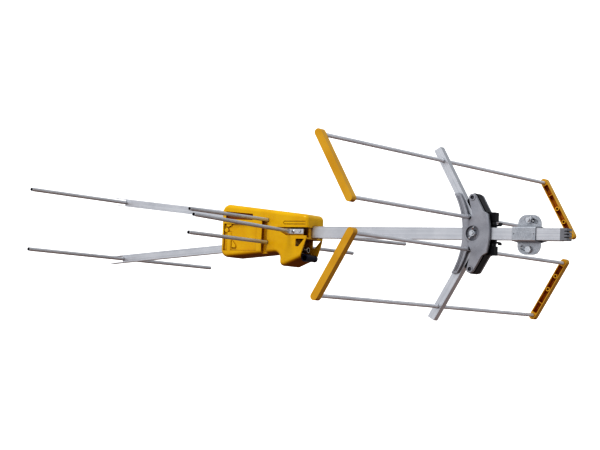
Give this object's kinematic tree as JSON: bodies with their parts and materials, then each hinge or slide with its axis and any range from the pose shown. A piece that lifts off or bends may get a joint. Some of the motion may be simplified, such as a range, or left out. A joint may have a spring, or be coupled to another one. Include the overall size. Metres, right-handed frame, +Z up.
{
  "type": "yagi television aerial",
  "caption": "Folding yagi television aerial: square boom on a tilting mast clamp, winged corner reflector, moulded dipole box and forked director arms.",
  "frame": {"origin": "on the mast's axis, midway up the mast clamp and level with the boom", "axes": "+Z up the mast, +X forward along the boom to the directors, +Y from the mast to the boom"},
  "size_m": [0.9145, 0.83, 0.2926],
  "materials": {
    "drawn_aluminium": "satin",
    "cast_aluminium": "matt, as cast",
    "zinc_steel": "zinc plated",
    "nickel_brass": "nickel plated",
    "yellow_plastic": "semi gloss",
    "orange_plastic": "semi gloss",
    "black_plastic": "matt",
    "grey_plastic": "matt",
    "black_rubber": "satin",
    "green_board": "satin"
  },
  "bodies": {
    "mast_side": {"mast_bracket": "zinc_steel", "jaw_bolt_front": "zinc_steel", "jaw_bolt_rear": "zinc_steel", "tilt_bolt_upper": "zinc_steel", "tilt_bolt_lower": "zinc_steel", "tilt_nut_lower": "zinc_steel", "tilt_washer_upper": "zinc_steel", "tilt_washer_lower": "zinc_steel", "tilt_wing_nut": "zinc_steel"},
    "jaw": {"mast_jaw": "zinc_steel", "jaw_nut_front": "zinc_steel", "jaw_nut_rear": "zinc_steel"},
    "boom": {"boom_tube": "drawn_aluminium", "boom_end_cap": "grey_plastic", "boom_saddle": "zinc_steel", "bracket_shell_near": "cast_aluminium", "bracket_shell_far": "cast_aluminium", "bracket_bolt": "zinc_steel", "bracket_washer": "zinc_steel", "bracket_wing_nut": "zinc_steel", "latch_pin_upper": "zinc_steel", "latch_pin_lower": "zinc_steel", "box_body": "yellow_plastic", "box_cover": "yellow_plastic", "balun_board": "green_board", "balun_can": "zinc_steel", "coax_socket": "nickel_brass", "rubber_boot": "black_rubber", "dipole_rod_near": "drawn_aluminium", "dipole_rod_far": "drawn_aluminium", "dipole_screw_near": "zinc_steel", "dipole_screw_far": "zinc_steel", "dipole_rivet_near": "zinc_steel", "dipole_rivet_far": "zinc_steel", "short_director_upper": "drawn_aluminium", "short_director_lower": "drawn_aluminium", "front_director_upper": "drawn_aluminium", "front_director_lower": "drawn_aluminium", "director_arm_upper": "drawn_aluminium", "director_arm_lower": "drawn_aluminium"},
    "wing_upper": {"reflector_arm_upper": "drawn_aluminium", "reflector_rod_upper_inner": "drawn_aluminium", "reflector_rod_upper_outer": "drawn_aluminium", "end_bar_upper_near": "orange_plastic", "end_bar_upper_far": "orange_plastic"},
    "wing_lower": {"reflector_arm_lower": "drawn_aluminium", "reflector_rod_lower_inner": "drawn_aluminium", "reflector_rod_lower_outer": "drawn_aluminium", "end_bar_lower_near": "orange_plastic", "end_bar_lower_far": "orange_plastic"},
    "latch_upper": {"latch_upper": "black_plastic"},
    "latch_lower": {"latch_lower": "black_plastic"}
  },
  "joints": [
    {"name": "boom_tilt", "type": "hinge", "parent": "mast_side", "child": "boom", "pos_m": [0, 0.0425, 0], "axis": [0, 1, 0], "range_deg": [0, 30]},
    {"name": "jaw_slide", "type": "slide", "parent": "mast_side", "child": "jaw", "axis": [0, -1, 0], "range_m": [0, 0.012]},
    {"name": "wing_fold_upper", "type": "hinge", "parent": "boom", "child": "wing_upper", "pos_m": [0.1, 0.0425, 0.0267], "axis": [0, 1, 0], "range_deg": [0, 59.6]},
    {"name": "wing_fold_lower", "type": "hinge", "parent": "boom", "child": "wing_lower", "pos_m": [0.1, 0.0425, -0.0267], "axis": [0, -1, 0], "range_deg": [0, 59.6]},
    {"name": "latch_turn_upper", "type": "hinge", "parent": "boom", "child": "latch_upper", "pos_m": [0.0935, 0.0425, 0.0596], "axis": [0, 1, 0], "range_deg": [0, 50]},
    {"name": "latch_turn_lower", "type": "hinge", "parent": "boom", "child": "latch_lower", "pos_m": [0.0935, 0.0425, -0.0596], "axis": [0, -1, 0], "range_deg": [0, 50]}
  ]
}
